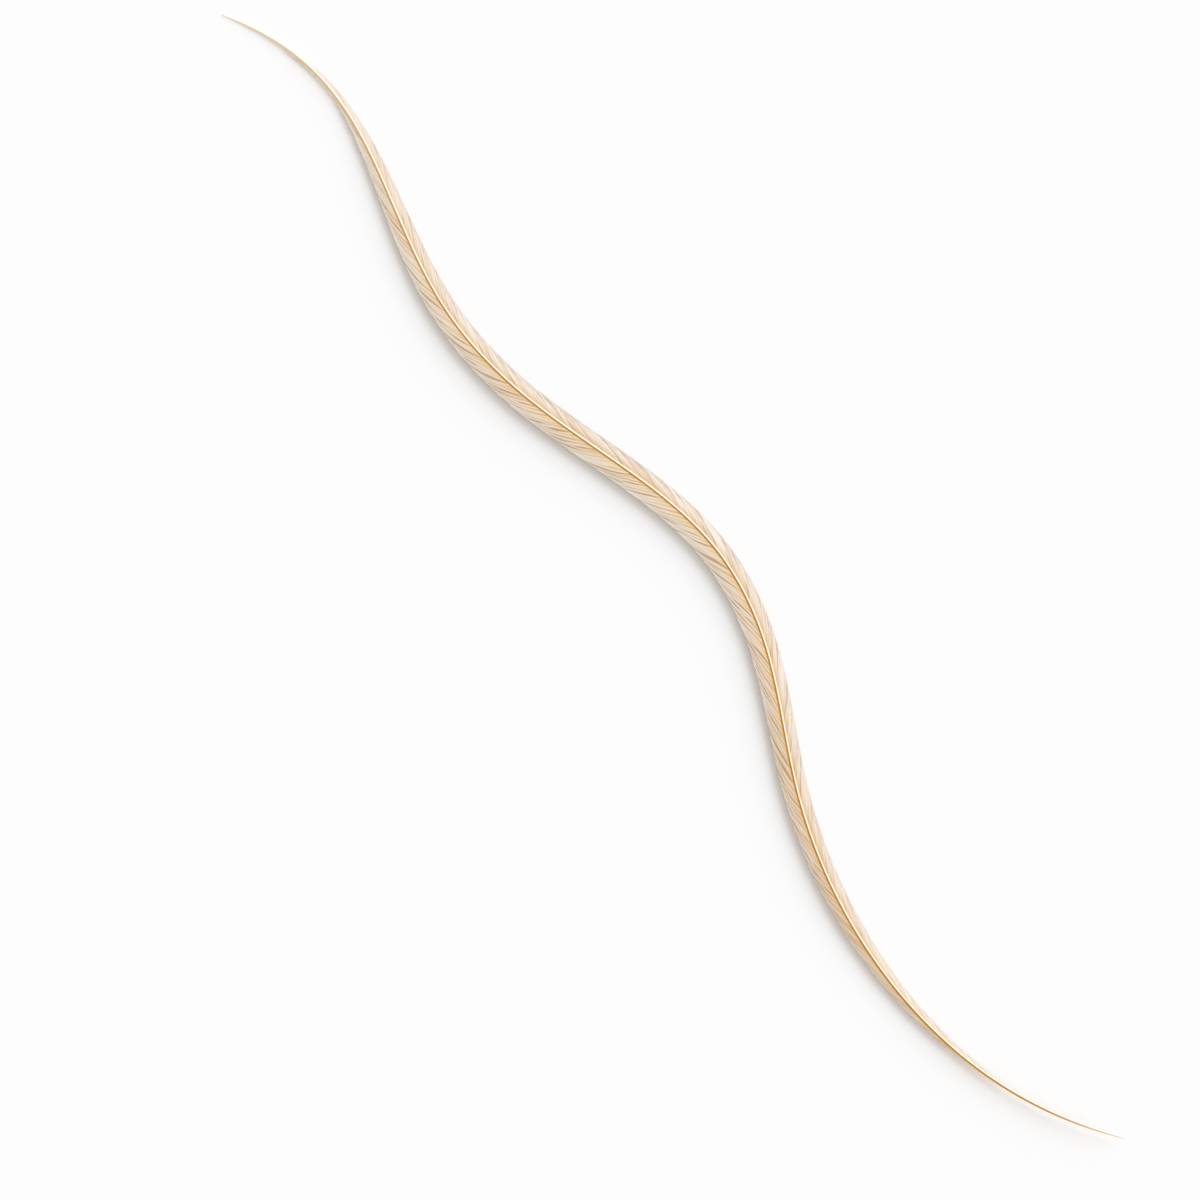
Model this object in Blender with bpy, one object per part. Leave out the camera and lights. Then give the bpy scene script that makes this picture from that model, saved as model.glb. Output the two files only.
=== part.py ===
"""Rooster feather, lying on a surface: one grown piece, a long S-curved shaft with two narrow vanes.

Metres, +Z up. +X runs along the feather from the quill end to the tip, and +Y is to the left of it.
The surface that the feather lies on is Z = 0, and the origin is under the middle of the whole outline.
"""

import math

import bmesh
import bpy
import numpy as np

# The shaft's centreline, seen from above and from the side, at stations along X.
STATION_START = -0.120
STATION_STEP = 0.020
STATION_SIDE = (
    -0.0026, 0.0080, 0.0116, 0.0100, 0.0035, -0.0065, -0.0107,
    -0.0070, -0.0016, -0.0007, -0.0053, -0.0085, -0.0022,
)
STATION_HEIGHT = (
    0.00220, 0.00135, 0.00110, 0.00120, 0.00130, 0.00135, 0.00135,
    0.00135, 0.00135, 0.00130, 0.00105, 0.00060, 0.00030,
)
SIDE_SLOPE_AT_QUILL = 0.75
SIDE_SLOPE_AT_TIP = 0.59

# The shaft is a round rod that thins to a point at both ends.
SHAFT_RADIUS = 0.00037
QUILL_TAPER = 0.018
QUILL_POINT = 0.003
TIP_TAPER = 0.022
TIP_POINT = 0.002
SHAFT_POINTS = 84

# Each vane, by distances along the shaft from the quill end.
VANE_POWER = 1.12
LEFT_VANE = {"peak": 0.0030, "start": 0.028, "growth": 0.038, "end": 0.227, "taper": 0.020}
RIGHT_VANE = {"peak": 0.0024, "start": 0.017, "growth": 0.034, "end": 0.240, "taper": 0.023}
HAIR_WIDTH = 0.00026
FULL_WIDTH = 0.0012
VANE_BELOW_CENTRE = 0.00015
RIGHT_EDGE_LIES_FROM = 0.80
LEFT_EDGE_DROOP = 0.12

# The vanes are laid in locks of barbs that leave the shaft and run towards the tip.
FIRST_ROOT = 0.016
LAST_ROOT = 0.236
LOCKS = 40
ROWS_IN_LOCK = 4
COLUMNS_ON_A_SIDE = 4
LONG_REACH = 0.0100
SHORT_REACH = 0.0030
BARB_CURL = 0.8
LOCK_STEP = 0.08
LOCK_THINNEST = 0.00016
LOCK_THICKEST = 0.00034

SHAFT_COLOUR = (0.60, 0.34, 0.11, 1.0)
VANE_COLOUR = (0.86, 0.72, 0.55, 1.0)


def clear_scene():
    for obj in list(bpy.data.objects):
        bpy.data.objects.remove(obj, do_unlink=True)


def collection(name):
    made = bpy.data.collections.new(name)
    bpy.context.scene.collection.children.link(made)
    return made


def keratin(name, colour, roughness):
    made = bpy.data.materials.new(name)
    made.use_nodes = True
    shader = made.node_tree.nodes["Principled BSDF"]
    shader.inputs["Base Color"].default_value = colour
    shader.inputs["Roughness"].default_value = roughness
    shader.inputs["Metallic"].default_value = 0.0
    return made


def spline_slopes(values, first_slope, last_slope):
    """The slopes at the stations that give a curve through them with no jump in its bend."""
    count = len(values)
    rows = np.zeros((count, count))
    sides = np.zeros(count)
    rows[0, 0] = rows[-1, -1] = 1.0
    sides[0], sides[-1] = first_slope, last_slope
    for i in range(1, count - 1):
        rows[i, i - 1 : i + 2] = (1.0, 4.0, 1.0)
        sides[i] = 3.0 * (values[i + 1] - values[i - 1]) / STATION_STEP
    return np.linalg.solve(rows, sides)


def through_stations(values, slopes, x):
    """The curve's value at x, as a cubic piece between two stations."""
    values, slopes = np.asarray(values), np.asarray(slopes)
    place = (np.asarray(x) - STATION_START) / STATION_STEP
    low = np.clip(np.floor(place).astype(int), 0, len(values) - 2)
    t = place - low
    return (
        values[low] * (1 + 2 * t) * (1 - t) ** 2
        + values[low + 1] * t * t * (3 - 2 * t)
        + STATION_STEP * (slopes[low] * t * (1 - t) ** 2 - slopes[low + 1] * t * t * (1 - t))
    )


class Shaft:
    """The shaft's centreline, measured by the distance along it from the quill end."""

    def __init__(self):
        x = np.linspace(STATION_START, -STATION_START, 1201)
        side = spline_slopes(STATION_SIDE, SIDE_SLOPE_AT_QUILL, SIDE_SLOPE_AT_TIP)
        rise = np.gradient(STATION_HEIGHT, STATION_STEP)
        self.points = np.stack(
            [x, through_stations(STATION_SIDE, side, x), through_stations(STATION_HEIGHT, rise, x)],
            axis=1,
        )
        steps = np.linalg.norm(np.diff(self.points, axis=0), axis=1)
        self.distances = np.concatenate([[0.0], np.cumsum(steps)])
        self.length = self.distances[-1]
        along = np.gradient(self.points[:, :2], axis=0)
        along /= np.linalg.norm(along, axis=1)[:, None]
        self.lefts = np.stack([-along[:, 1], along[:, 0]], axis=1)

    def at(self, distance):
        return np.array([np.interp(distance, self.distances, column) for column in self.points.T])

    def left_of(self, distance):
        return np.array([np.interp(distance, self.distances, column) for column in self.lefts.T])

    def radius(self, distance):
        quill = 1 - math.exp(-(distance + QUILL_POINT) / QUILL_TAPER)
        tip = 1 - math.exp(-(self.length + TIP_POINT - distance) / TIP_TAPER)
        return SHAFT_RADIUS * quill * tip


def vane_width(vane, distance):
    """How far the barbs' tips reach from the shaft's centre, at a distance from the quill end."""
    grown = 1 - math.exp(-max(distance - vane["start"], 0.0) / vane["growth"])
    left = max(vane["end"] - distance, 0.0) / vane["taper"]
    return max(vane["peak"] * grown * (1 - math.exp(-(left**VANE_POWER))), HAIR_WIDTH)


def root_of(row):
    """The distance along the shaft where a row of the sheet leaves it."""
    return FIRST_ROOT + (LAST_ROOT - FIRST_ROOT) * row / (LOCKS * ROWS_IN_LOCK)


def place_in_lock(row):
    """0 at a lock's first and shortest row of barbs, and 1 at its last and longest."""
    return (row % ROWS_IN_LOCK) / (ROWS_IN_LOCK - 1)


def fullness(side, row):
    """1 along most of a vane, falling to 0 where the vane is only a hair's width."""
    edge = vane_width(side, root_of(row) + SHORT_REACH)
    return min(1.0, (edge - HAIR_WIDTH) / FULL_WIDTH)


def underside(shaft, distance, side, share):
    """Height of the vanes' underside. The left vane droops a little, and the right one slopes
    down until it lies on the surface."""
    root = shaft.at(distance)[2] - VANE_BELOW_CENTRE
    width = vane_width(side, distance)
    droop = min(1.0, share / RIGHT_EDGE_LIES_FROM)
    if side is LEFT_VANE:
        droop = LEFT_EDGE_DROOP * share * share
    return root * (1 - droop * min(1.0, width / FULL_WIDTH))


def barb_point(shaft, row, place):
    """A point of the vanes' sheet. place runs from -1 at the right vane's edge through 0 on the
    shaft to 1 at the left vane's edge."""
    side = LEFT_VANE if place > 0 else RIGHT_VANE
    full = fullness(side, row)
    reach = SHORT_REACH + (LONG_REACH - SHORT_REACH) * full
    distance = root_of(row) + reach * abs(place)
    spread = math.sin(BARB_CURL * abs(place) * math.pi / 2) / math.sin(BARB_CURL * math.pi / 2)
    shortening = LOCK_STEP * (1 - place_in_lock(row)) * full
    share = spread * (1 - shortening)
    out = math.copysign(vane_width(side, distance) * share, place)
    centre, left = shaft.at(distance), shaft.left_of(distance)
    height = underside(shaft, distance, side, share)
    return (centre[0] + left[0] * out, centre[1] + left[1] * out, height)


def make_vanes(shaft, home):
    """One grid across both vanes, its rows following the barbs, extruded upwards. Each lock
    grows thicker towards its last row, so that its edge stands over the next lock."""
    rows, columns = LOCKS * ROWS_IN_LOCK, 2 * COLUMNS_ON_A_SIDE
    work = bmesh.new()
    bmesh.ops.create_grid(work, x_segments=rows, y_segments=columns, size=1.0)
    raised = bmesh.ops.extrude_face_region(work, geom=work.faces[:], use_keep_orig=True)
    upper = {part for part in raised["geom"] if isinstance(part, bmesh.types.BMVert)}
    for vertex in work.verts:
        row, place = round((vertex.co.x + 1) / 2 * rows), vertex.co.y
        vertex.co = barb_point(shaft, row, place)
        if vertex in upper:
            fill = place_in_lock(row) * fullness(RIGHT_VANE, row)
            vertex.co.z += LOCK_THINNEST + (LOCK_THICKEST - LOCK_THINNEST) * fill
    bmesh.ops.recalc_face_normals(work, faces=work.faces)
    mesh = bpy.data.meshes.new("feather")
    work.to_mesh(mesh)
    work.free()
    vanes = bpy.data.objects.new("feather", mesh)
    home.objects.link(vanes)
    return vanes


def make_shaft(shaft, home):
    """The rod as a curve with a bevel, made a mesh with its caps welded so that it can be joined."""
    curve = bpy.data.curves.new("shaft_route", "CURVE")
    curve.dimensions = "3D"
    curve.bevel_depth = 1.0
    curve.bevel_resolution = 2
    curve.use_fill_caps = True
    spline = curve.splines.new("POLY")
    spline.points.add(SHAFT_POINTS - 1)
    for i, point in enumerate(spline.points):
        distance = shaft.length * i / (SHAFT_POINTS - 1)
        point.co = (*shaft.at(distance), 1.0)
        point.radius = shaft.radius(distance)
    route = bpy.data.objects.new("shaft_route", curve)
    home.objects.link(route)
    bpy.context.view_layer.update()
    graph = bpy.context.evaluated_depsgraph_get()
    mesh = bpy.data.meshes.new_from_object(route.evaluated_get(graph))
    bpy.data.objects.remove(route)
    work = bmesh.new()
    work.from_mesh(mesh)
    bmesh.ops.remove_doubles(work, verts=work.verts, dist=0.000001)
    bmesh.ops.recalc_face_normals(work, faces=work.faces)
    work.to_mesh(mesh)
    work.free()
    rod = bpy.data.objects.new("shaft_rod", mesh)
    home.objects.link(rod)
    rod.hide_render = True
    rod.display_type = "WIRE"
    return rod


def main():
    clear_scene()
    shaft = Shaft()
    feather = make_vanes(shaft, collection("rooster_feather"))
    rod = make_shaft(shaft, collection("joined_shapes"))
    feather.data.materials.append(keratin("vane_keratin", VANE_COLOUR, 0.55))
    rod.data.materials.append(keratin("shaft_keratin", SHAFT_COLOUR, 0.30))
    join = feather.modifiers.new("shaft", "BOOLEAN")
    join.operation = "UNION"
    join.object = rod
    join.material_mode = "TRANSFER"


main()
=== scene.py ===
"""Rooster feather: the looks of a long, narrow saddle feather that lies on a white surface.

The shaft is one tapered rod of horn. Each vane is several hundred separate barbs, laid over a thin
sheet of barbules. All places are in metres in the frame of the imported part: +X from the quill end
to the tip, +Y to the left of that way, and the surface at Z = 0.
"""

import math

import bmesh
import bpy
import numpy as np
from bpy.props import (
    FloatProperty,
    IntProperty,
    PointerProperty,
    StringProperty,
)
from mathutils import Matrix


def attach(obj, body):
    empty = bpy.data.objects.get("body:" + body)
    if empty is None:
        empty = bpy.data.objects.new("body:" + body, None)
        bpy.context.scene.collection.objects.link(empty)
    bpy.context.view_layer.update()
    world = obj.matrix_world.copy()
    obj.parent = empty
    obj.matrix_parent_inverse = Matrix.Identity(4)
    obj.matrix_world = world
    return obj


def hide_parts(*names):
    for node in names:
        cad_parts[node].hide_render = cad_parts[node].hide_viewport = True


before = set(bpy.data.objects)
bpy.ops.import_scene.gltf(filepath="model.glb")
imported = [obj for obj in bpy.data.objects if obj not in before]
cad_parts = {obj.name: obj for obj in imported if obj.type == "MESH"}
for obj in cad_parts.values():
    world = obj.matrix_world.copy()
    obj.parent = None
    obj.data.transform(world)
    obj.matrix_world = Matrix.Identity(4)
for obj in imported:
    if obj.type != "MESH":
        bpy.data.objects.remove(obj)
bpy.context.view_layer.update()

bl_info = {
    "name": "Rooster feather",
    "version": (1, 0, 0),
    "blender": (4, 5, 0),
    "location": "View3D > Sidebar > Feather",
    "description": "Grows the shaft and the barbs of a long, narrow feather",
    "category": "Object",
}

BODY = "root"
NODE = "feather"

# The shaft's centreline, from above and from the side, at stations along X, as the solid has it.
STATION_START = -0.120
STATION_STEP = 0.020
STATION_SIDE = (
    -0.0026, 0.0080, 0.0116, 0.0100, 0.0035, -0.0065, -0.0107,
    -0.0070, -0.0016, -0.0007, -0.0053, -0.0085, -0.0022,
)
STATION_HEIGHT = (
    0.00220, 0.00135, 0.00110, 0.00120, 0.00130, 0.00135, 0.00135,
    0.00135, 0.00135, 0.00130, 0.00105, 0.00060, 0.00030,
)
SIDE_SLOPE_AT_QUILL = 0.75
SIDE_SLOPE_AT_TIP = 0.59

# The rod thins towards both ends, each over its own length.
QUILL_TAPER = 0.010
QUILL_POINT = 0.004
TIP_TAPER = 0.008
TIP_POINT = 0.001

# Where the rod lies: lower than the centreline by this much, and to the right of it by these
# amounts at these distances from the quill end.
ROD_DROP = 0.00016
ROD_SHIFT_AT = (0.009, 0.024, 0.035, 0.068, 0.096, 0.109, 0.142, 0.185, 0.214, 0.227, 0.239)
ROD_SHIFT = (
    0.00001, 0.00005, 0.00009, 0.00003, 0.00011, 0.00017,
    0.00012, 0.00014, 0.00017, 0.00014, 0.00022,
)

# Each vane, by distances along the shaft from the quill end, with the way its barbs lie.
VANE_POWER = 1.12
# painted_group_shade darkens the barbs at the edges of each group as painted shade, where groups part, and
# pales those in its middle.
LEFT_VANE = {
    "side": 1, "peak": 0.0029, "start": 0.028, "growth": 0.038, "end": 0.230, "taper": 0.028,
    "droop": 0.12, "lies_from": None, "settled": 0.0,
    "curl": 0.94, "uneven_tips": 0.008, "cling": 0.9, "tone_spread": 0.04, "darker": 0.13,
    "painted_group_shade": 0.34, "pale_tip": 0.75,
}
RIGHT_VANE = {
    "side": -1, "peak": 0.0024, "start": 0.017, "growth": 0.034, "end": 0.240, "taper": 0.023,
    "droop": 1.0, "lies_from": 0.80, "settled": 0.85,
    "curl": 0.74, "uneven_tips": 0.030, "cling": 0.6, "tone_spread": 0.05, "darker": 0.0,
    "painted_group_shade": 0.13, "pale_tip": 0.25,
}
HAIR_WIDTH = 0.00024
FULL_WIDTH = 0.0012
VANE_BELOW_CENTRE = 0.00015
FIRST_ROOT = 0.0165
LAST_ROOT = 0.2360
SHORT_REACH = 0.0030
LONG_REACH = 0.0082

# How barbs lie: their height over the vane's lower skin, the share of it that is left where the
# vane is a hair's width, and the spread between groups of barbs that cling together.
BARB_RINGS = 10
BARB_LIFT = 0.00022
TIP_LIFT = 0.3
GROUP_LIFT = 0.00002
GROUP_CROWN = 0.000015
GROUP_WAVE = 0.12
TILT_SPREAD = 0.06
REACH_SPREAD = 0.07
CURL_SPREAD = 0.04
ROOT_SPREAD = 0.00003
ACROSS_STEP = 0.02

# The sheet of barbules just below the barbs, coloured darker than them so that the gaps between barbs show
# painted shade. Its rows put an edge on the right vane's fold.
WEB_CELLS = 500
WEB_ROWS = 10
WEB_PAST_ROOT = 0.001
WEB_BELOW_BARBS = 0.00003
WEB_THICKNESS = 0.00002

# Faces that meet at less than these angles are shaded as one.
SMOOTH_ANGLE = math.radians(30)
BARB_SMOOTH_ANGLE = math.radians(8)

# Colours from one place to another, each a share of the way and an sRGB hex value: round the
# rod from its right side to its left, and out along a barb from the shaft to its tip.
# Round the rod: the cream band on the right flank is a painted highlight, and the pale left edge is
# painted light on the side in shade. The golden band between is the horn's colour, deepened as painted
# shade.
HORN_ROUND_PAINTED_LIGHT = (
    (0.0, "#E8BE86"), (0.10, "#F2D6A8"), (0.18, "#FFF6E6"), (0.33, "#FFF4E0"),
    (0.43, "#C27E0A"), (0.79, "#C27E0A"), (0.88, "#F8D494"), (1.0, "#FFECC4"),
)
# The left barbs' root colour is paled as painted light, against the shadow that the rod throws on them.
LEFT_BARBS_PAINTED_ROOT_LIGHT = (
    (0.0, "#FFE4AC"), (0.12, "#FCE8C6"), (0.5, "#F8ECDA"), (0.75, "#F0E6D8"), (1.0, "#F8F5EF"),
)
# The right barbs' tan root is their own colour, deepened as painted shade where they meet the rod.
RIGHT_BARBS_PAINTED_ROOT_SHADE = (
    (0.0, "#D0A570"), (0.18, "#DABD96"), (0.5, "#ECDDC8"), (0.74, "#F0E7DA"), (0.86, "#FFF5EA"),
    (1.0, "#FFFDFA"),
)
# The barbule sheet's colours: the barbules' own tan, kept darker than the barbs as painted shade seen
# through the gaps between them.
LEFT_WEB_PAINTED_GAP_SHADE = ((0.0, "#E4BE84"), (0.2, "#DCC094"), (0.6, "#E0CAAC"), (1.0, "#F4EADC"))
RIGHT_WEB_PAINTED_GAP_SHADE = ((0.0, "#C89C64"), (0.2, "#D2B088"), (0.6, "#E0CCB4"), (1.0, "#F2ECE4"))

# The horn's colour at its thin, see-through ends, and how far in from each end that reaches.
HORN_THIN = "#F4E4CC"
HORN_THIN_AT_QUILL = 0.006
HORN_THIN_AT_TIP = 0.030

# The length of a cloud in the horn's colour, and how dark and how light the clouds make it.
CLOUD_LENGTH = 0.0091
CLOUD_DARK = 0.90
CLOUD_LIGHT = 1.04

# What a barb's tone does to its colour, from the darkest barb to the palest, the tone that most
# barbs are near and the spread from one barb to the next. Towards the quill end, the left vane's
# barbs grow darker from DARKER_BELOW on, over the length DARKER_OVER.
TONE_TINT = ((0.0, "#BC9A70"), (0.22, "#D8BE9C"), (0.61, "#F3F1EE"), (1.0, "#FFFFFF"))
MIDDLE_TONE = 0.485
BARB_TONE = 0.05
DARKER_BELOW = 0.128
DARKER_OVER = 0.060

# Over this length the barbs take on, by their vane's share, the pale colour of a barb's tip.
TIP_PALE_FROM = 0.190
TIP_PALE_TO = 0.232

CARD_WHITE = "#F4F4F4"

# The photograph's frame: where the feather's two ends are in it, in pixels of a square of this side.
IMAGE_SIDE = 1200
TIP_PIXEL = (222.4, 15.2)
QUILL_PIXEL = (1122.4, 1137.7)
CAMERA_HEIGHT = 0.80
SENSOR = 36.0


def linear(hex_colour):
    """A colour written as sRGB hex, as the linear values that shaders take."""
    steps = [int(hex_colour[i : i + 2], 16) / 255 for i in (1, 3, 5)]
    return [s / 12.92 if s <= 0.04045 else ((s + 0.055) / 1.055) ** 2.4 for s in steps]


def spline_slopes(values, first_slope, last_slope):
    """The slopes at the stations that give a curve through them with no jump in its bend."""
    count = len(values)
    rows = np.zeros((count, count))
    sides = np.zeros(count)
    rows[0, 0] = rows[-1, -1] = 1.0
    sides[0], sides[-1] = first_slope, last_slope
    for i in range(1, count - 1):
        rows[i, i - 1 : i + 2] = (1.0, 4.0, 1.0)
        sides[i] = 3.0 * (values[i + 1] - values[i - 1]) / STATION_STEP
    return np.linalg.solve(rows, sides)


def through_stations(values, slopes, x):
    """The curve's value at x, as a cubic piece between two stations."""
    values, slopes = np.asarray(values), np.asarray(slopes)
    place = (x - STATION_START) / STATION_STEP
    low = np.clip(np.floor(place).astype(int), 0, len(values) - 2)
    t = place - low
    return (
        values[low] * (1 + 2 * t) * (1 - t) ** 2
        + values[low + 1] * t * t * (3 - 2 * t)
        + STATION_STEP * (slopes[low] * t * (1 - t) ** 2 - slopes[low + 1] * t * t * (1 - t))
    )


class Centreline:
    """The middle of the shaft, measured by the distance along it from the quill end."""

    def __init__(self):
        x = np.linspace(STATION_START, -STATION_START, 2401)
        side = spline_slopes(STATION_SIDE, SIDE_SLOPE_AT_QUILL, SIDE_SLOPE_AT_TIP)
        rise = np.gradient(STATION_HEIGHT, STATION_STEP)
        self.points = np.stack(
            [x, through_stations(STATION_SIDE, side, x), through_stations(STATION_HEIGHT, rise, x)],
            axis=1,
        )
        steps = np.linalg.norm(np.diff(self.points, axis=0), axis=1)
        self.distances = np.concatenate([[0.0], np.cumsum(steps)])
        self.length = self.distances[-1]
        along = np.gradient(self.points[:, :2], axis=0)
        along /= np.linalg.norm(along, axis=1)[:, None]
        self.lefts = np.stack([-along[:, 1], along[:, 0]], axis=1)

    def at(self, distance):
        columns = [np.interp(distance, self.distances, c) for c in self.points.T]
        return np.stack(columns, axis=-1)

    def left_of(self, distance):
        return np.stack([np.interp(distance, self.distances, c) for c in self.lefts.T], axis=-1)


def vane_width(vane, distance):
    """How far the barbs' tips reach from the shaft's centre, at a distance from the quill end."""
    grown = 1 - np.exp(-np.maximum(distance - vane["start"], 0.0) / vane["growth"])
    left = np.maximum(vane["end"] - distance, 0.0) / vane["taper"]
    return np.maximum(vane["peak"] * grown * (1 - np.exp(-(left**VANE_POWER))), HAIR_WIDTH)


def vane_height(line, vane, distance, out_share):
    """Height of a vane's lower skin, as the solid has it, where out_share is 0 at the shaft and
    1 at the vane's edge."""
    root = line.at(distance)[..., 2] - VANE_BELOW_CENTRE
    if vane["lies_from"]:
        droop = np.minimum(1.0, out_share / vane["lies_from"])
    else:
        droop = vane["droop"] * out_share**2
    return root * (1 - droop * np.minimum(1.0, vane_width(vane, distance) / FULL_WIDTH))


def rod_centre(line, distance):
    """Centre of the rod at distances from the quill end."""
    centre = line.at(distance)
    centre[:, :2] -= line.left_of(distance) * np.interp(distance, ROD_SHIFT_AT, ROD_SHIFT)[:, None]
    centre[:, 2] -= ROD_DROP
    return centre


def colour_place(vane, distance, share):
    """The place out along a barb whose colour it has: further out near the feather's tip."""
    step = np.clip((distance - TIP_PALE_FROM) / (TIP_PALE_TO - TIP_PALE_FROM), 0.0, 1.0)
    return share + (1 - share) * vane["pale_tip"] * step


def lift_at(full):
    """Height of the barbs over a vane's lower skin, less where the vane is a hair's width."""
    return BARB_LIFT * (TIP_LIFT + (1 - TIP_LIFT) * full)


def vane_point(line, vane, distance, share, lift):
    """A point of a vane, share of the way out to its edge and lift over its lower skin."""
    centre, left = line.at(distance), line.left_of(distance)
    out = vane["side"] * vane_width(vane, distance) * share
    height = vane_height(line, vane, distance, share) + lift * (1 - vane["settled"] * share)
    x = centre[..., 0] + left[..., 0] * out
    y = centre[..., 1] + left[..., 1] * out
    return np.stack([x, y, height], axis=-1)


def fullness(vane, distance):
    """1 along most of a vane, falling to 0 where it is only a hair's width."""
    return np.clip((vane_width(vane, distance) - HAIR_WIDTH) / FULL_WIDTH, 0.0, 1.0)


def unit(vectors):
    return vectors / np.linalg.norm(vectors, axis=-1, keepdims=True)


def deselect_all():
    bpy.ops.object.select_all(action="DESELECT")


def select_points(obj, wanted):
    """In edit mode, selects the points whose place meets a test."""
    mesh = bmesh.from_edit_mesh(obj.data)
    for vert in mesh.verts:
        vert.select = bool(wanted(vert.co))
    mesh.select_flush_mode()
    bmesh.update_edit_mesh(obj.data)


def select_edges(obj, wanted):
    """In edit mode, selects the edges whose two ends meet a test."""
    mesh = bmesh.from_edit_mesh(obj.data)
    for edge in mesh.edges:
        edge.select = bool(wanted(edge.verts[0].co, edge.verts[1].co))
    mesh.select_flush_mode()
    bmesh.update_edit_mesh(obj.data)


def points_of(obj):
    flat = np.empty(len(obj.data.vertices) * 3)
    obj.data.vertices.foreach_get("co", flat)
    return flat.reshape(-1, 3)


def set_points(obj, points):
    obj.data.vertices.foreach_set("co", points.astype(np.float32).ravel())
    obj.data.update()


def add_attribute(obj, name, values):
    layer = obj.data.attributes.new(name, "FLOAT", "POINT")
    layer.data.foreach_set("value", values.astype(np.float32).ravel())


def add_node(tree, kind, settings=None, **links):
    """One shader node. A setting is an attribute or an input's value, and a link is an input's
    name, with _ for a space, and the socket that feeds it."""
    node = tree.nodes.new(kind)
    for name, value in (settings or {}).items():
        if hasattr(node, name):
            setattr(node, name, value)
        else:
            node.inputs[name].default_value = value
    for name, socket in links.items():
        tree.links.new(socket, node.inputs[name.replace("_", " ")])
    return node


def new_material(name):
    made = bpy.data.materials.new(name)
    made.use_nodes = True
    made.node_tree.nodes.clear()
    return made, made.node_tree


def ramp(tree, stops, factor):
    """A colour ramp through stops of (place, sRGB hex)."""
    node = add_node(tree, "ShaderNodeValToRGB", Fac=factor)
    band = node.color_ramp
    while len(band.elements) < len(stops):
        band.elements.new(0.5)
    for element, (place, colour) in zip(band.elements, stops):
        element.position = place
        element.color = (*linear(colour), 1.0)
    return node.outputs["Color"]


class FeatherShaft(bpy.types.PropertyGroup):
    """Sizes of the shaft."""

    radius: FloatProperty(
        name="Radius", description="Radius of the rod at its thickest",
        default=0.00034, min=0.0001, max=0.002, subtype="DISTANCE", unit="LENGTH",
    )
    points: IntProperty(
        name="Points", description="Points along the rod", default=420, min=40, max=1200,
    )


class FeatherVanes(bpy.types.PropertyGroup):
    """Sizes of the barbs, and how they cling and let light through."""

    barbs: IntProperty(
        name="Barbs", description="Barbs on each side of the shaft", default=850, min=50, max=1500,
    )
    width: FloatProperty(
        name="Barb width", description="Width of one barb with its barbules",
        default=0.00024, min=0.00005, max=0.001, subtype="DISTANCE", unit="LENGTH",
    )
    thickness: FloatProperty(
        name="Barb thickness", description="Thickness of one barb at its ridge",
        default=0.00003, min=0.00001, max=0.001, subtype="DISTANCE", unit="LENGTH",
    )
    smallest_group: IntProperty(
        name="Fewest in a group", description="Fewest barbs that cling together", default=3, min=1,
    )
    largest_group: IntProperty(
        name="Most in a group", description="Most barbs that cling together", default=6, min=1,
    )
    cling: FloatProperty(
        name="Cling", description="How far the tips of a group are drawn together",
        default=0.35, min=0.0, max=1.0, subtype="FACTOR",
    )
    see_through: FloatProperty(
        name="See-through", description="Share of the light on a barb that goes through it",
        default=0.06, min=0.0, max=1.0, subtype="FACTOR",
    )
    web_see_through: FloatProperty(
        name="See-through barbules", description="Share of the light on the barbules that goes through",
        default=0.15, min=0.0, max=1.0, subtype="FACTOR",
    )
    seed: IntProperty(name="Seed", description="Seed of the random draws", default=7)


class FeatherStage(bpy.types.PropertyGroup):
    """The surface, the light and the camera."""

    floor_side: FloatProperty(
        name="Floor side", description="Side of the square surface",
        default=6.0, min=0.5, max=20.0, subtype="DISTANCE", unit="LENGTH",
    )
    key_strength: FloatProperty(
        name="Key light", description="Strength of the soft light from one side", default=2.29,
    )
    key_elevation: FloatProperty(
        name="Key elevation", description="Height of the soft light over the surface",
        default=math.radians(28), subtype="ANGLE", unit="ROTATION",
    )
    key_size: FloatProperty(
        name="Key size", description="Angle that the soft light takes up",
        default=math.radians(54), subtype="ANGLE", unit="ROTATION",
    )
    key_colour: StringProperty(
        name="Key colour", description="sRGB hex colour of the soft light", default="#E3EFFF",
    )
    fill: FloatProperty(
        name="Fill", description="Strength of the even light from all round", default=0.828,
    )
    fill_colour: StringProperty(
        name="Fill colour", description="sRGB hex colour of the even light", default="#FFFAF4",
    )


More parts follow.
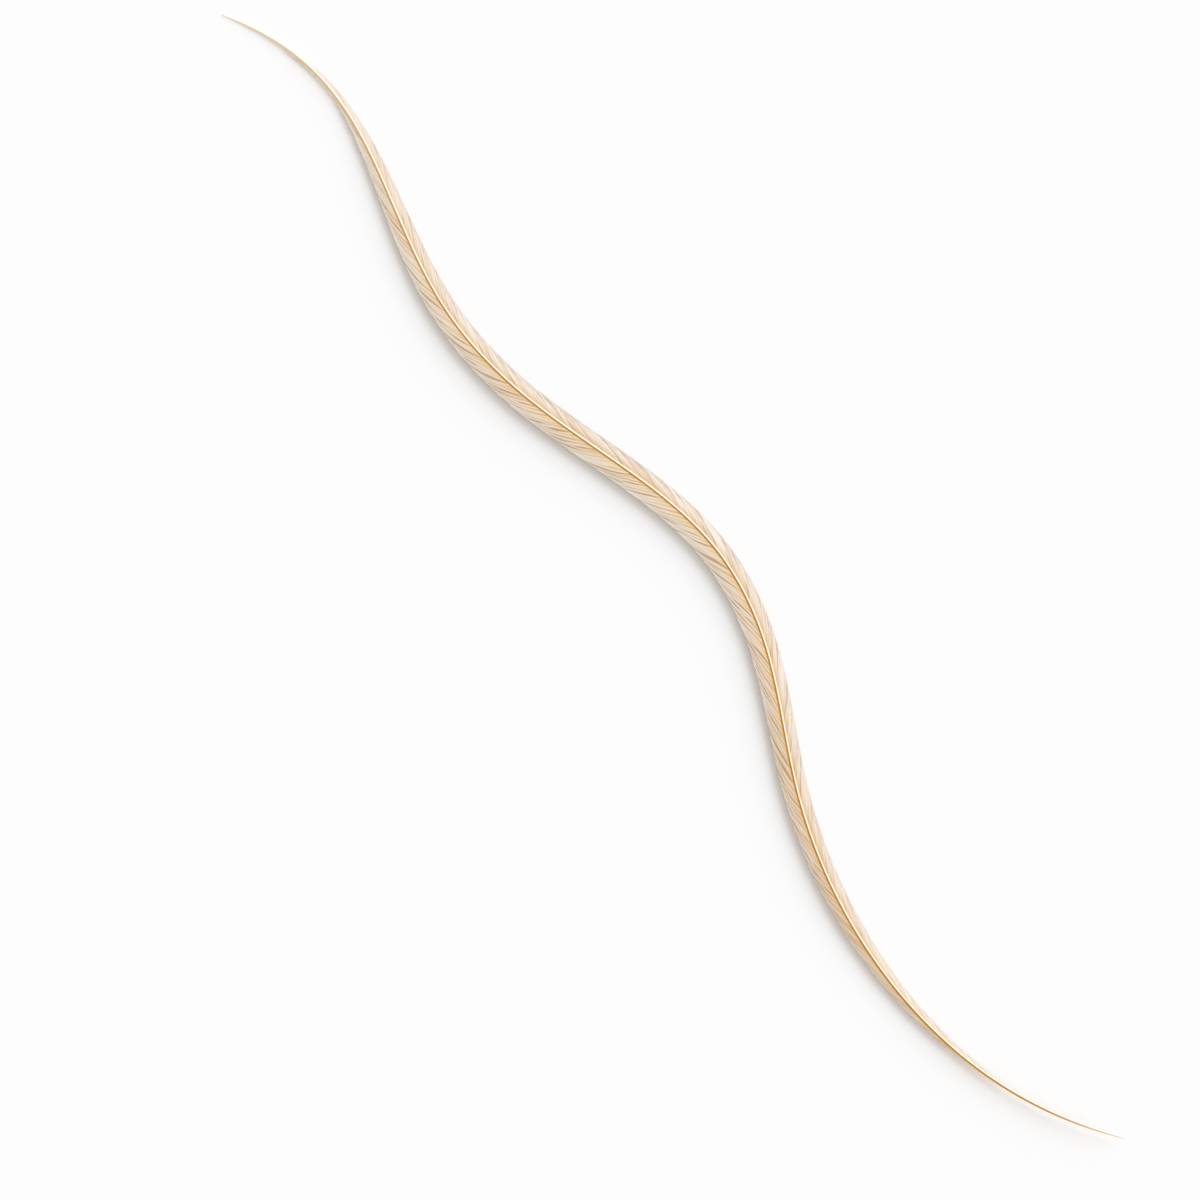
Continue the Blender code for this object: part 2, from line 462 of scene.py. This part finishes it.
def horn_material():
    """Rachis: keratin horn, smooth with a soft gloss. Its right flank has a painted highlight as a cream
    line, and its left edge is painted lighter against its shade. Its top is a golden brown line, the
    horn's colour deepened as painted shade where the rod turns from the light, cloudy along its length.
    Its thin ends are paler."""
    made, tree = new_material("rachis horn, golden")
    painted_light_round = add_node(tree, "ShaderNodeAttribute", {"attribute_name": "round"}).outputs["Fac"]
    thin = add_node(tree, "ShaderNodeAttribute", {"attribute_name": "thin"}).outputs["Fac"]
    place = add_node(tree, "ShaderNodeTexCoord").outputs["Object"]
    cloud = add_node(
        tree, "ShaderNodeTexNoise", {"Scale": 1 / CLOUD_LENGTH, "Detail": 2.0}, Vector=place
    ).outputs["Fac"]
    shade = add_node(
        tree,
        "ShaderNodeMapRange",
        {"From Min": 0.3, "From Max": 0.7, "To Min": CLOUD_DARK, "To Max": CLOUD_LIGHT},
        Value=cloud,
    ).outputs["Result"]
    clouded = add_node(
        tree,
        "ShaderNodeVectorMath",
        {"operation": "SCALE"},
        Vector=ramp(tree, HORN_ROUND_PAINTED_LIGHT, painted_light_round),
        Scale=shade,
    ).outputs["Vector"]
    paled = add_node(tree, "ShaderNodeMix", {"data_type": "RGBA"})
    tree.links.new(thin, paled.inputs[0])
    tree.links.new(clouded, paled.inputs[6])
    paled.inputs[7].default_value = (*linear(HORN_THIN), 1.0)
    shader = add_node(
        tree,
        "ShaderNodeBsdfPrincipled",
        {"Roughness": 0.45, "IOR": 1.5, "Specular IOR Level": 0.35, "Coat Weight": 0.08,
         "Coat Roughness": 0.2},
        Base_Color=paled.outputs[2],
    )
    add_node(tree, "ShaderNodeOutputMaterial", Surface=shader.outputs["BSDF"])
    return made


def barb_material(name, stops, see_through):
    """Barbs: fine keratin filaments fringed with barbules. They look silky and matt, let a little
    light through, and pale from tan at the shaft to cream at their tips. Their own tones differ."""
    made, tree = new_material(name)
    outward = add_node(tree, "ShaderNodeAttribute", {"attribute_name": "outward"}).outputs["Fac"]
    tone = add_node(tree, "ShaderNodeAttribute", {"attribute_name": "tone"}).outputs["Fac"]
    base = ramp(tree, stops, outward)
    tint = ramp(tree, TONE_TINT, tone)
    times = add_node(tree, "ShaderNodeVectorMath", {"operation": "MULTIPLY"})
    tree.links.new(base, times.inputs[0])
    tree.links.new(tint, times.inputs[1])
    colour = times.outputs["Vector"]
    skin = add_node(
        tree,
        "ShaderNodeBsdfPrincipled",
        {"Roughness": 0.55, "IOR": 1.54, "Specular IOR Level": 0.35, "Sheen Weight": 0.15,
         "Sheen Roughness": 0.4},
        Base_Color=colour,
    )
    glow = add_node(tree, "ShaderNodeBsdfTranslucent", Color=colour)
    both = add_node(tree, "ShaderNodeMixShader", {"Fac": see_through})
    tree.links.new(skin.outputs["BSDF"], both.inputs[1])
    tree.links.new(glow.outputs["BSDF"], both.inputs[2])
    add_node(tree, "ShaderNodeOutputMaterial", Surface=both.outputs["Shader"])
    return made


def paper_material():
    """The surface: matt white card, which gives no gloss and a clean soft shadow."""
    made, tree = new_material("white card, matt")
    shader = add_node(
        tree,
        "ShaderNodeBsdfPrincipled",
        {"Base Color": (*linear(CARD_WHITE), 1.0), "Roughness": 0.95, "Specular IOR Level": 0.1},
    )
    add_node(tree, "ShaderNodeOutputMaterial", Surface=shader.outputs["BSDF"])
    return made


class FEATHER_OT_shaft(bpy.types.Operator):
    """Grow the shaft: a rod that follows the centreline and thins to a hair at both ends"""

    bl_idname = "feather.shaft"
    bl_label = "Grow the shaft"

    def execute(self, context):
        shaft = context.scene.feather_shaft
        line = Centreline()
        deselect_all()
        bpy.ops.curve.primitive_nurbs_path_add(location=(0, 0, 0))
        route = context.object
        route.name = "shaft"
        curve = route.data
        curve.splines.clear()
        spline = curve.splines.new("POLY")
        spline.points.add(shaft.points - 1)
        distance = np.linspace(0.0, line.length, shaft.points)
        quill = 1 - np.exp(-(distance + QUILL_POINT) / QUILL_TAPER)
        tip = 1 - np.exp(-(line.length + TIP_POINT - distance) / TIP_TAPER)
        places = np.concatenate([rod_centre(line, distance), np.ones((shaft.points, 1))], axis=1)
        spline.points.foreach_set("co", places.ravel())
        spline.points.foreach_set("radius", quill * tip)
        curve.bevel_depth = shaft.radius
        curve.bevel_resolution = 6
        curve.use_fill_caps = True
        bpy.ops.object.convert(target="MESH")
        rod = context.object
        bpy.ops.object.mode_set(mode="EDIT")
        bpy.ops.mesh.select_all(action="SELECT")
        bpy.ops.mesh.remove_doubles(threshold=0.0000001)
        bpy.ops.mesh.normals_make_consistent(inside=False)
        bpy.ops.object.mode_set(mode="OBJECT")
        self.mark_painted_light_round_and_thin(rod, line)
        bpy.ops.object.shade_smooth()
        rod.data.materials.clear()
        rod.data.materials.append(horn_material())
        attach(rod, BODY)
        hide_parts(NODE)
        return {"FINISHED"}

    def mark_painted_light_round_and_thin(self, rod, line):
        """Marks how far round the rod each point is, from 0 at its right side to 1 at its left, which
        places the painted highlight and painted shade on the rod. Also marks how thin the rod is there,
        from 0 along most of it to 1 at its ends."""
        points = points_of(rod)
        distance = np.interp(points[:, 0], line.points[:, 0], line.distances)
        away = points - rod_centre(line, distance)
        sideways = (away[:, :2] * line.left_of(distance)).sum(axis=1)
        painted_light_round = 0.5 + 0.5 * sideways / np.hypot(sideways, away[:, 2]).clip(0.000001)
        add_attribute(rod, "round", painted_light_round)
        from_quill = np.exp(-distance / HORN_THIN_AT_QUILL)
        from_tip = np.exp((distance - line.length) / HORN_THIN_AT_TIP)
        add_attribute(rod, "thin", 1 - (1 - from_quill) * (1 - from_tip))


def model_barb():
    """One barb: a four-sided spindle, one unit long, wide and high, that ends in a point."""
    deselect_all()
    bpy.ops.mesh.primitive_cylinder_add(
        vertices=4, radius=0.5, depth=1.0, location=(0.5, 0, 0), rotation=(0, math.pi / 2, 0)
    )
    barb = bpy.context.object
    bpy.ops.object.transform_apply(location=True, rotation=True, scale=True)
    bpy.ops.object.mode_set(mode="EDIT")
    bpy.ops.mesh.select_mode(type="EDGE")
    select_edges(barb, lambda a, b: abs(a.x - b.x) > 0.5)
    bpy.ops.mesh.subdivide(number_cuts=BARB_RINGS - 2)
    bpy.ops.mesh.select_mode(type="VERT")
    select_points(barb, lambda p: p.x > 0.999)
    bpy.ops.mesh.merge(type="CENTER")
    bpy.ops.object.mode_set(mode="OBJECT")
    return barb


def repeat(piece, count, pitch):
    """Makes count copies of a piece in a row along Y, joined in one mesh."""
    bpy.ops.object.modifier_add(type="ARRAY")
    row = piece.modifiers[-1]
    row.count = count
    row.use_relative_offset = False
    row.use_constant_offset = True
    row.constant_offset_displace = (0.0, pitch, 0.0)
    row.use_merge_vertices = False
    bpy.ops.object.modifier_apply(modifier=row.name)


def draw_groups(count, vanes, draw):
    """Splits a row of barbs into groups. Gives each barb its group and its place in it, from -1 to 1."""
    group = np.zeros(count, int)
    place = np.zeros(count)
    start = number = 0
    while start < count:
        size = int(draw.integers(vanes.smallest_group, vanes.largest_group + 1))
        end = min(start + size, count)
        group[start:end] = number
        place[start:end] = (np.arange(end - start) + 0.5) / (end - start) * 2 - 1
        start, number = end, number + 1
    return group, place


def lay_barbs(row, line, vane, vanes, draw):
    """Takes a row of straight barbs and lays each along its own line in the vane."""
    pitch = 2.0
    straight = points_of(row)
    index = np.rint(straight[:, 1] / pitch).astype(int)
    count = int(index.max()) + 1
    ring = np.rint(straight[:, 0] * (BARB_RINGS - 1)).astype(int)
    across, up = straight[:, 1] - index * pitch, straight[:, 2]

    group, place = draw_groups(count, vanes, draw)
    groups = int(group.max()) + 1
    group_tone = draw.normal(MIDDLE_TONE, vane["tone_spread"], groups)[group]
    group_reach = draw.normal(1.0, REACH_SPREAD, groups)[group]
    group_curl = draw.normal(0.0, CURL_SPREAD, groups)[group]
    group_wave = draw.normal(0.0, GROUP_WAVE, groups)[group]
    group_lift = draw.uniform(0.0, 1.0, groups)[group]
    group_cling = draw.uniform(0.4, 1.4, groups)[group] * vanes.cling * vane["cling"]
    root = np.linspace(FIRST_ROOT, LAST_ROOT, count) + draw.normal(0, ROOT_SPREAD, count)
    spacing = (LAST_ROOT - FIRST_ROOT) / count
    half_group = np.bincount(group)[group] * spacing / 2
    full = fullness(vane, root + SHORT_REACH)
    reach = (SHORT_REACH + (LONG_REACH - SHORT_REACH) * full) * group_reach
    length = 1 - np.abs(draw.normal(0.0, vane["uneven_tips"], count))
    curl = vane["curl"] + group_curl

    t = np.linspace(0.0, 1.0, BARB_RINGS)[None, :]
    drawn = (group_cling * place * half_group)[:, None] * t**1.5
    distance = root[:, None] + (reach * length)[:, None] * t - drawn
    quarter = np.pi / 2
    share = np.sin(curl[:, None] * t * length[:, None] * quarter) / np.sin(curl * quarter)[:, None]
    share = share * (1 + group_wave[:, None] * np.sin(2 * np.pi * t) * (1 - t))
    ridge = (1 - place**2)[:, None] * GROUP_CROWN * np.sin(np.pi * t)
    lift = lift_at(full[:, None]) + GROUP_LIFT * group_lift[:, None] + ridge
    path = vane_point(line, vane, distance, share, lift)

    along = unit(np.gradient(path, axis=1))
    across_vane = vane_point(line, vane, distance, share + ACROSS_STEP, lift) - path
    upward = unit(np.cross(along, across_vane)) * vane["side"]
    sideways = np.cross(upward, along)
    tilt = draw.normal(0.0, TILT_SPREAD, count)[:, None, None]
    turned_side = sideways * np.cos(tilt) + upward * np.sin(tilt)
    turned_up = upward * np.cos(tilt) - sideways * np.sin(tilt)
    body = np.minimum(1.0, 0.55 + t) * (1 - 0.45 * t) * (0.7 + 0.3 * full[:, None])
    width = vanes.width * body
    thickness = vanes.thickness * body

    laid = (
        path[index, ring]
        + turned_side[index, ring] * (across * width[index, ring])[:, None]
        + turned_up[index, ring] * (up * thickness[index, ring])[:, None]
    )
    set_points(row, laid)
    barb_tone = group_tone + draw.normal(0.0, BARB_TONE, count)
    # Painted shade and light: barbs at a group's edges, where groups part, are darker, and those in its
    # middle are paler.
    barb_tone += vane["painted_group_shade"] * (0.5 - np.abs(place))
    add_attribute(row, "outward", colour_place(vane, distance, share)[index, ring])
    barb_tone -= vane["darker"] * np.clip((DARKER_BELOW - root) / DARKER_OVER, 0.0, 1.0)
    add_attribute(row, "tone", np.clip(barb_tone, 0.0, 1.0)[index])


def grow_web(name, vane, material):
    """The barbules that fill the gaps between barbs, as one thin sheet just below them, darker than the
    barbs as painted shade in the gaps.
    """
    deselect_all()
    bpy.ops.mesh.primitive_grid_add(x_subdivisions=WEB_CELLS, y_subdivisions=WEB_ROWS, size=2.0)
    web = bpy.context.object
    web.name = web.data.name = name
    flat = points_of(web)
    line = Centreline()
    span = LAST_ROOT + WEB_PAST_ROOT - FIRST_ROOT
    distance = FIRST_ROOT + span * (flat[:, 0] + 1) / 2
    share = (flat[:, 1] + 1) / 2
    lift = lift_at(fullness(vane, distance)) - WEB_BELOW_BARBS
    laid = vane_point(line, vane, distance, share, lift)
    set_points(web, laid)
    add_attribute(web, "outward", colour_place(vane, distance, share))
    add_attribute(web, "tone", np.full(len(share), MIDDLE_TONE))
    bpy.ops.object.mode_set(mode="EDIT")
    bpy.ops.mesh.select_all(action="SELECT")
    bpy.ops.mesh.normals_make_consistent(inside=False)
    bpy.ops.object.mode_set(mode="OBJECT")
    bpy.ops.object.modifier_add(type="SOLIDIFY")
    wall = web.modifiers[-1]
    wall.thickness = WEB_THICKNESS
    wall.offset = -1
    bpy.ops.object.modifier_apply(modifier=wall.name)
    bpy.ops.object.shade_smooth_by_angle(angle=SMOOTH_ANGLE)
    web.data.materials.clear()
    web.data.materials.append(material)
    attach(web, BODY)
    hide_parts(NODE)


def grow_vane(context, name, vane, material, seed_step):
    vanes = context.scene.feather_vanes
    row = model_barb()
    row.name = row.data.name = name
    repeat(row, vanes.barbs, 2.0)
    lay_barbs(row, Centreline(), vane, vanes, np.random.default_rng(vanes.seed + seed_step))
    bpy.ops.object.shade_smooth_by_angle(angle=BARB_SMOOTH_ANGLE)
    row.data.materials.clear()
    row.data.materials.append(material)
    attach(row, BODY)
    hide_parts(NODE)


class FEATHER_OT_left_vane(bpy.types.Operator):
    """Grow the left vane: the wider one, which faces away from the light"""

    bl_idname = "feather.left_vane"
    bl_label = "Grow the left vane"

    def execute(self, context):
        vanes = context.scene.feather_vanes
        barbs = barb_material("barb keratin, tan", LEFT_BARBS_PAINTED_ROOT_LIGHT, vanes.see_through)
        grow_vane(context, "barbs_left", LEFT_VANE, barbs, 0)
        web = barb_material("barbule keratin, tan", LEFT_WEB_PAINTED_GAP_SHADE, vanes.web_see_through)
        grow_web("web_left", LEFT_VANE, web)
        return {"FINISHED"}


class FEATHER_OT_right_vane(bpy.types.Operator):
    """Grow the right vane: the narrower one, whose pale tips lie on the surface"""

    bl_idname = "feather.right_vane"
    bl_label = "Grow the right vane"

    def execute(self, context):
        vanes = context.scene.feather_vanes
        barbs = barb_material("barb keratin, pale", RIGHT_BARBS_PAINTED_ROOT_SHADE, vanes.see_through)
        grow_vane(context, "barbs_right", RIGHT_VANE, barbs, 1)
        web = barb_material("barbule keratin, pale", RIGHT_WEB_PAINTED_GAP_SHADE, vanes.web_see_through)
        grow_web("web_right", RIGHT_VANE, web)
        return {"FINISHED"}


class FEATHER_OT_stage(bpy.types.Operator):
    """Lay the white surface and set the soft light and the camera above it"""

    bl_idname = "feather.stage"
    bl_label = "Set the stage"

    def execute(self, context):
        stage = context.scene.feather_stage
        deselect_all()
        bpy.ops.mesh.primitive_plane_add(size=stage.floor_side, location=(0, 0, 0))
        floor = context.object
        floor.name = "floor"
        floor.data.materials.append(paper_material())
        self.set_light(context, stage)
        self.set_camera(context)
        context.scene.view_settings.view_transform = "Standard"
        return {"FINISHED"}

    def set_light(self, context, stage):
        """A wide, soft light from the right vane's side, and an even light all round."""
        image_right, image_up = image_axes()
        towards = (image_right + image_up) / math.sqrt(2)
        bpy.ops.object.light_add(type="SUN", location=(0, -1, 1))
        key = context.object
        key.name = "key_light"
        key.data.energy = stage.key_strength
        key.data.color = linear(stage.key_colour)
        key.data.angle = stage.key_size
        key.rotation_mode = "XYZ"
        heading = math.atan2(towards[1], towards[0])
        key.rotation_euler = (0.0, math.pi / 2 - stage.key_elevation, heading)
        world = bpy.data.worlds.new("studio")
        world.use_nodes = True
        world.node_tree.nodes["Background"].inputs["Color"].default_value = (*linear(stage.fill_colour), 1)
        world.node_tree.nodes["Background"].inputs["Strength"].default_value = stage.fill
        context.scene.world = world

    def set_camera(self, context):
        """The camera looks straight down, turned so that the feather's ends fall on their pixels."""
        image_right, image_up = image_axes()
        line = Centreline()
        middle = (line.points[0] + line.points[-1]) / 2
        scale = metres_per_pixel(line)
        chord_pixel = [(a + b) / 2 for a, b in zip(TIP_PIXEL, QUILL_PIXEL)]
        off_right = (IMAGE_SIDE / 2 - chord_pixel[0]) * scale
        off_up = (chord_pixel[1] - IMAGE_SIDE / 2) * scale
        place = middle[:2] + image_right * off_right + image_up * off_up
        bpy.ops.object.camera_add(location=(place[0], place[1], CAMERA_HEIGHT))
        camera = context.object
        camera.rotation_euler = (0.0, 0.0, math.atan2(image_right[1], image_right[0]))
        camera.data.sensor_width = SENSOR
        camera.data.lens = SENSOR * CAMERA_HEIGHT / (scale * IMAGE_SIDE)
        camera.data.clip_start, camera.data.clip_end = 0.01, 20.0
        context.scene.camera = camera


def metres_per_pixel(line):
    chord = np.linalg.norm(line.points[-1][:2] - line.points[0][:2])
    return chord / math.dist(TIP_PIXEL, QUILL_PIXEL)


def image_axes():
    """The directions in the part's frame, seen from above, that point right and up in the image."""
    across, down = (t - q for t, q in zip(TIP_PIXEL, QUILL_PIXEL))
    size = math.hypot(across, down)
    right = np.array([across, down]) / size
    up = np.array([-right[1], right[0]])
    return right, up


class FEATHER_PT_panel(bpy.types.Panel):
    """Lists the steps and what a user would change"""

    bl_idname = "FEATHER_PT_panel"
    bl_label = "Rooster feather"
    bl_space_type = "VIEW_3D"
    bl_region_type = "UI"
    bl_category = "Feather"

    def draw(self, context):
        scene = context.scene
        for operator in STEPS:
            self.layout.operator(operator.bl_idname)
        for settings in (scene.feather_shaft, scene.feather_vanes, scene.feather_stage):
            box = self.layout.box()
            for name in settings.__annotations__:
                box.prop(settings, name)


STEPS = (FEATHER_OT_shaft, FEATHER_OT_left_vane, FEATHER_OT_right_vane, FEATHER_OT_stage)
SETTINGS = {
    "feather_shaft": FeatherShaft,
    "feather_vanes": FeatherVanes,
    "feather_stage": FeatherStage,
}


def register():
    for made in (*SETTINGS.values(), *STEPS, FEATHER_PT_panel):
        bpy.utils.register_class(made)
    for name, group in SETTINGS.items():
        setattr(bpy.types.Scene, name, PointerProperty(type=group))


def unregister():
    for name in SETTINGS:
        delattr(bpy.types.Scene, name)
    for made in reversed((*SETTINGS.values(), *STEPS, FEATHER_PT_panel)):
        bpy.utils.unregister_class(made)


def main():
    register()
    bpy.ops.feather.shaft()
    bpy.ops.feather.left_vane()
    bpy.ops.feather.right_vane()
    bpy.ops.feather.stage()


if __name__ == "__main__":
    main()
